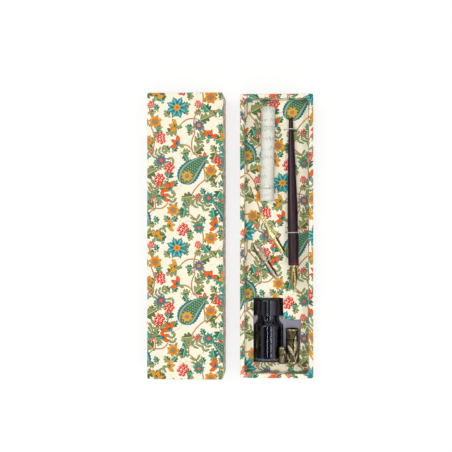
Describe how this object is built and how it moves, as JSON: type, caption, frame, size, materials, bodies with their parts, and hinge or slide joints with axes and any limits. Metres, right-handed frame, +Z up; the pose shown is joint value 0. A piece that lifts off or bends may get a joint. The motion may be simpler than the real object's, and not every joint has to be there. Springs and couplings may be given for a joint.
{
  "type": "writing set box",
  "caption": "Open lift-off-lid card box in printed paper, its tray holding a rolled sheet, a dip pen, spare nibs, an ink bottle and a cast bamboo pen stand.",
  "frame": {"origin": "on the table, under the centre of the box that holds the open lid and the base", "axes": "+Y along the box from the bottle towards the end of the roll, +X from the lid to the base, +Z up from the table"},
  "size_m": [0.1668, 0.288, 0.04],
  "materials": {
    "greyboard": "dense grey board, matt",
    "corner_tape": "gummed paper tape, matt",
    "printed_paper": "coated printed paper with a satin sheen",
    "lining_paper": "plain grey paper, matt",
    "foam": "fine closed-cell foam, matt",
    "string": "thin twisted elastic string",
    "writing_paper": "smooth writing paper, matt",
    "stained_wood": "turned wood, dark violet stain under gloss lacquer",
    "clip_steel": "bright rolled steel",
    "nib_brass": "pressed brass, polished",
    "nib_gold": "pale gold plating, polished",
    "nib_steel": "pressed bronze-toned steel, polished",
    "reservoir_brass": "pale brass strip, polished",
    "bottle_glass": "clear moulded glass",
    "ink": "black liquid ink",
    "cap_plastic": "moulded black plastic, glossy",
    "cap_liner": "soft white foam disc",
    "cast_brass": "cast brass, darkened in the hollows"
  },
  "bodies": {
    "base": {"base_board": "greyboard", "base_corner_tapes": "corner_tape", "base_wrap": "printed_paper", "base_bottom_paper": "lining_paper", "base_liner": "lining_paper", "insert_foam": "foam", "insert_card": "greyboard", "insert_wrap": "printed_paper", "string_scroll_top": "string", "string_scroll_foot": "string", "string_pen_neck": "string", "string_pen_belly": "string", "string_gold_nib": "string", "string_steel_nib": "string"},
    "lid": {"lid_board": "greyboard", "lid_corner_tapes": "corner_tape", "lid_wrap": "printed_paper", "lid_liner": "lining_paper"},
    "scroll": {"scroll": "writing_paper"},
    "pen": {"pen_holder": "stained_wood", "pen_ferrule": "clip_steel"},
    "nib": {"pen_nib": "nib_brass"},
    "gold_nib": {"spare_nib_gold": "nib_gold"},
    "steel_nib": {"spare_nib_steel": "nib_steel", "nib_reservoir": "reservoir_brass"},
    "bottle": {"bottle_glass": "bottle_glass", "bottle_ink": "ink"},
    "cap": {"bottle_cap": "cap_plastic", "cap_liner": "cap_liner"},
    "stand": {"pen_stand": "cast_brass"}
  },
  "joints": [
    {"name": "lid_lift", "type": "slide", "parent": "base", "child": "lid", "axis": [0, 0, 1], "range_m": [0, 0.06]},
    {"name": "roll_slide", "type": "slide", "parent": "base", "child": "scroll", "axis": [0.0155, 0.9999, 0], "range_m": [-0.01, 0.007]},
    {"name": "pen_slide", "type": "slide", "parent": "base", "child": "pen", "axis": [0.018, -0.9996, 0.0227], "range_m": [0, 0.016]},
    {"name": "nib_pull", "type": "slide", "parent": "pen", "child": "nib", "axis": [0.018, -0.9996, 0.0227], "range_m": [0, 0.0135]},
    {"name": "gold_nib_slide", "type": "slide", "parent": "base", "child": "gold_nib", "axis": [-0.506, 0.8625, 0], "range_m": [0, 0.018]},
    {"name": "steel_nib_slide", "type": "slide", "parent": "base", "child": "steel_nib", "axis": [-0.5432, 0.8396, 0], "range_m": [0, 0.012]},
    {"name": "bottle_lift", "type": "slide", "parent": "base", "child": "bottle", "axis": [0, 0, 1], "range_m": [0, 0.06]},
    {"name": "cap_turn", "type": "hinge", "parent": "bottle", "child": "cap", "pos_m": [0.0382, -0.08154, 0.0171], "axis": [0, 1, 0], "range_deg": [0, 400]},
    {"name": "stand_lift", "type": "slide", "parent": "bottle", "child": "stand", "axis": [0, 0, 1], "range_m": [0, 0.05]}
  ]
}
